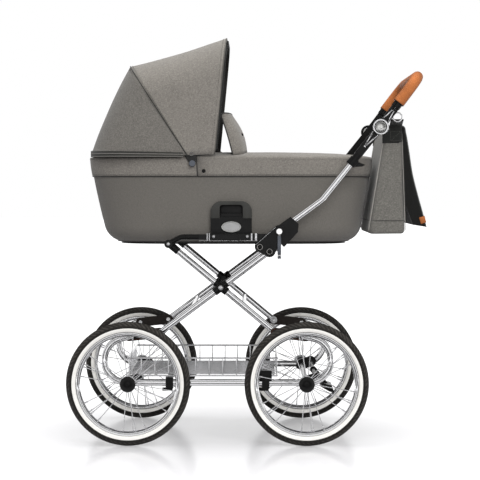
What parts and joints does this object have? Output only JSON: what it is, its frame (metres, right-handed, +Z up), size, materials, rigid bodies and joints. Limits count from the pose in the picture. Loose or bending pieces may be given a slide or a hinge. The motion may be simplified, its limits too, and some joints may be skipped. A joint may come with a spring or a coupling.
{
  "type": "pram",
  "caption": "Classic pram with wire wheels, C springs, crossed folding legs, a bassinet with a folding hood, a leather grip and a hanging bag.",
  "frame": {"origin": "on the floor, midway between the front and rear axles on the pram's centre plane", "axes": "+X from the front wheels towards the handle, +Y to the pram's right, +Z up"},
  "size_m": [1.0508, 0.6244, 1.1909],
  "materials": {
    "tyre": "black rubber with a white side wall",
    "chrome": "bright chrome plate",
    "spoke_steel": "bright plated wire",
    "steel": "bright plated steel",
    "black_paint": "black satin paint",
    "black_plastic": "black matt plastic",
    "grip_plastic": "dark grey plastic",
    "strap_leather": "dark leather strap",
    "tan_leather": "tan leather with stitching",
    "webbing": "black webbing",
    "bag_cloth": "grey woven cloth",
    "dark_cloth": "dark woven cloth",
    "tub_cloth": "grey melange cloth over a shell",
    "pale_cloth": "pale cotton",
    "hood_cloth": "warm grey melange cloth",
    "bow_plastic": "dark plastic strip"
  },
  "bodies": {
    "base": {"spring_frame_left": "chrome", "spring_frame_right": "chrome", "axles": "steel", "axle_blocks": "black_paint", "basket_floor": "spoke_steel", "basket_walls": "spoke_steel", "basket_bars": "black_paint", "leather_straps": "strap_leather", "strap_bolts": "steel"},
    "wheel_front_left": {"front_left_tyre": "tyre", "front_left_rim": "chrome", "front_left_spokes": "spoke_steel", "front_left_hub": "black_plastic"},
    "wheel_front_right": {"front_right_tyre": "tyre", "front_right_rim": "chrome", "front_right_spokes": "spoke_steel", "front_right_hub": "black_plastic"},
    "wheel_rear_left": {"rear_left_tyre": "tyre", "rear_left_rim": "chrome", "rear_left_spokes": "spoke_steel", "rear_left_hub": "black_plastic"},
    "wheel_rear_right": {"rear_right_tyre": "tyre", "rear_right_rim": "chrome", "rear_right_spokes": "spoke_steel", "rear_right_hub": "black_plastic"},
    "brake": {"brake_pedal": "black_paint"},
    "rising": {"rising_legs": "chrome", "rising_pivot_blocks": "black_plastic"},
    "falling": {"falling_legs": "chrome", "falling_pivot_blocks": "black_plastic"},
    "upper_frame": {"centre_rails": "black_paint", "hinge_housings": "black_paint", "housing_pins": "steel"},
    "front_rail": {"front_rails": "black_paint"},
    "locks": {"lock_levers": "chrome"},
    "push_frame": {"push_tubes": "chrome", "push_fittings": "black_plastic"},
    "collar_release": {"collar_levers": "black_plastic"},
    "button_left": {"hinge_button_left": "chrome"},
    "button_right": {"hinge_button_right": "chrome"},
    "handle": {"handle_arms": "black_paint", "grip": "tan_leather", "bag_rings": "chrome"},
    "bag_webbing": {"bag_straps": "webbing"},
    "bag": {"bag_body": "bag_cloth"},
    "bag_cover": {"bag_flap": "dark_cloth"},
    "bassinet": {"tub": "tub_cloth", "bottom_trim": "black_plastic", "mattress": "pale_cloth", "head_band": "hood_cloth", "apron": "hood_cloth", "carry_plates": "black_plastic", "oval_plates": "steel", "hood_pivots": "chrome", "hood_rear_panel": "hood_cloth"},
    "wind_guard": {"wind_flap": "hood_cloth"},
    "squeeze_bars": {"triggers": "grip_plastic"},
    "hood_mid": {"hood_mid_bow": "bow_plastic", "hood_front_panel": "hood_cloth"},
    "hood_front": {"hood_front_bow": "bow_plastic"}
  },
  "joints": [
    {"name": "front_left_spin", "type": "hinge", "parent": "base", "child": "wheel_front_left", "pos_m": [-0.2585, -0.28, 0.18], "axis": [0, 1, 0], "continuous": true},
    {"name": "front_right_spin", "type": "hinge", "parent": "base", "child": "wheel_front_right", "pos_m": [-0.2585, 0.28, 0.18], "axis": [0, 1, 0], "continuous": true},
    {"name": "rear_left_spin", "type": "hinge", "parent": "base", "child": "wheel_rear_left", "pos_m": [0.2585, -0.28, 0.18], "axis": [0, 1, 0], "continuous": true},
    {"name": "rear_right_spin", "type": "hinge", "parent": "base", "child": "wheel_rear_right", "pos_m": [0.2585, 0.28, 0.18], "axis": [0, 1, 0], "continuous": true},
    {"name": "chassis_fold", "type": "hinge", "parent": "base", "child": "rising", "pos_m": [-0.169, 0, 0.324], "axis": [0, 1, 0], "range_deg": [0, 24]},
    {"name": "falling_fold", "type": "hinge", "parent": "rising", "child": "falling", "pos_m": [0.00938, 0, 0.45723], "axis": [0, 1, 0], "range_deg": [-50.3, 0]},
    {"name": "upper_level", "type": "hinge", "parent": "rising", "child": "upper_frame", "pos_m": [0.151, 0, 0.563], "axis": [0, 1, 0], "range_deg": [-24.1, 0]},
    {"name": "front_rail_slide", "type": "slide", "parent": "upper_frame", "child": "front_rail", "axis": [-0.9833, 0, -0.182], "range_m": [0, 0.0727]},
    {"name": "handle_fold", "type": "hinge", "parent": "upper_frame", "child": "push_frame", "pos_m": [0.179, 0, 0.621], "axis": [0, 1, 0], "range_deg": [-45, 0]},
    {"name": "lock_levers_lift", "type": "hinge", "parent": "upper_frame", "child": "locks", "pos_m": [0.179, 0, 0.621], "axis": [0, 1, 0], "range_deg": [-75, 0]},
    {"name": "collar_release_press", "type": "hinge", "parent": "push_frame", "child": "collar_release", "pos_m": [0.40883, 0, 0.82114], "axis": [0, 1, 0], "range_deg": [-15, 0], "stiffness_Nm_per_rad": 0.2},
    {"name": "handle_tilt", "type": "hinge", "parent": "push_frame", "child": "handle", "pos_m": [0.472, 0, 0.923], "axis": [0, -1, 0], "range_deg": [-50, 0]},
    {"name": "bag_strap_swing", "type": "hinge", "parent": "handle", "child": "bag_webbing", "pos_m": [0.52136, 0, 0.9515], "axis": [0, -1, 0], "range_deg": [0, 50.1]},
    {"name": "bag_swing", "type": "hinge", "parent": "bag_webbing", "child": "bag", "pos_m": [0.52136, 0, 0.9515], "axis": [0, 1, 0], "range_deg": [-58.6, 0]},
    {"name": "bag_flap_open", "type": "hinge", "parent": "bag", "child": "bag_cover", "pos_m": [0.4904, 0, 0.9238], "axis": [0, -1, 0], "range_deg": [0, 95]},
    {"name": "button_left_press", "type": "slide", "parent": "handle", "child": "button_left", "axis": [0, -1, 0], "range_m": [-0.003, 0], "stiffness_N_per_m": 400},
    {"name": "button_right_press", "type": "slide", "parent": "handle", "child": "button_right", "axis": [0, 1, 0], "range_m": [-0.003, 0], "stiffness_N_per_m": 400},
    {"name": "brake_press", "type": "hinge", "parent": "base", "child": "brake", "pos_m": [0.2875, 0, 0.19], "axis": [0, 1, 0], "range_deg": [0, 18]},
    {"name": "bassinet_lift", "type": "slide", "parent": "upper_frame", "child": "bassinet", "axis": [0, 0, 1], "range_m": [0, 0.15]},
    {"name": "squeeze_bars_lift", "type": "slide", "parent": "bassinet", "child": "squeeze_bars", "axis": [0, 0, 1], "range_m": [0, 0.008], "stiffness_N_per_m": 300},
    {"name": "hood_fold", "type": "hinge", "parent": "bassinet", "child": "hood_mid", "pos_m": [-0.074, 0, 0.818], "axis": [0, 1, 0], "range_deg": [-44, 0], "deforming": ["hood_rear_panel"]},
    {"name": "hood_front_fold", "type": "hinge", "parent": "hood_mid", "child": "hood_front", "pos_m": [-0.074, 0, 0.818], "axis": [0, 1, 0], "range_deg": [-44.1, 0], "deforming": ["hood_front_panel"]},
    {"name": "wind_flap_fold", "type": "hinge", "parent": "bassinet", "child": "wind_guard", "pos_m": [0.085, 0, 0.853], "axis": [0, 1, 0], "range_deg": [0, 70]}
  ],
  "couplings": [
    {"joint": "falling_fold", "follows": "chassis_fold", "ratio": -2.091},
    {"joint": "upper_level", "follows": "chassis_fold", "ratio": -1},
    {"joint": "front_rail_slide", "follows": "chassis_fold", "m_per_rad": 0.1731},
    {"joint": "bag_strap_swing", "follows": "handle_tilt", "ratio": -1},
    {"joint": "bag_swing", "follows": "handle_fold", "ratio": 1.3},
    {"joint": "hood_front_fold", "follows": "hood_fold", "ratio": 1}
  ]
}
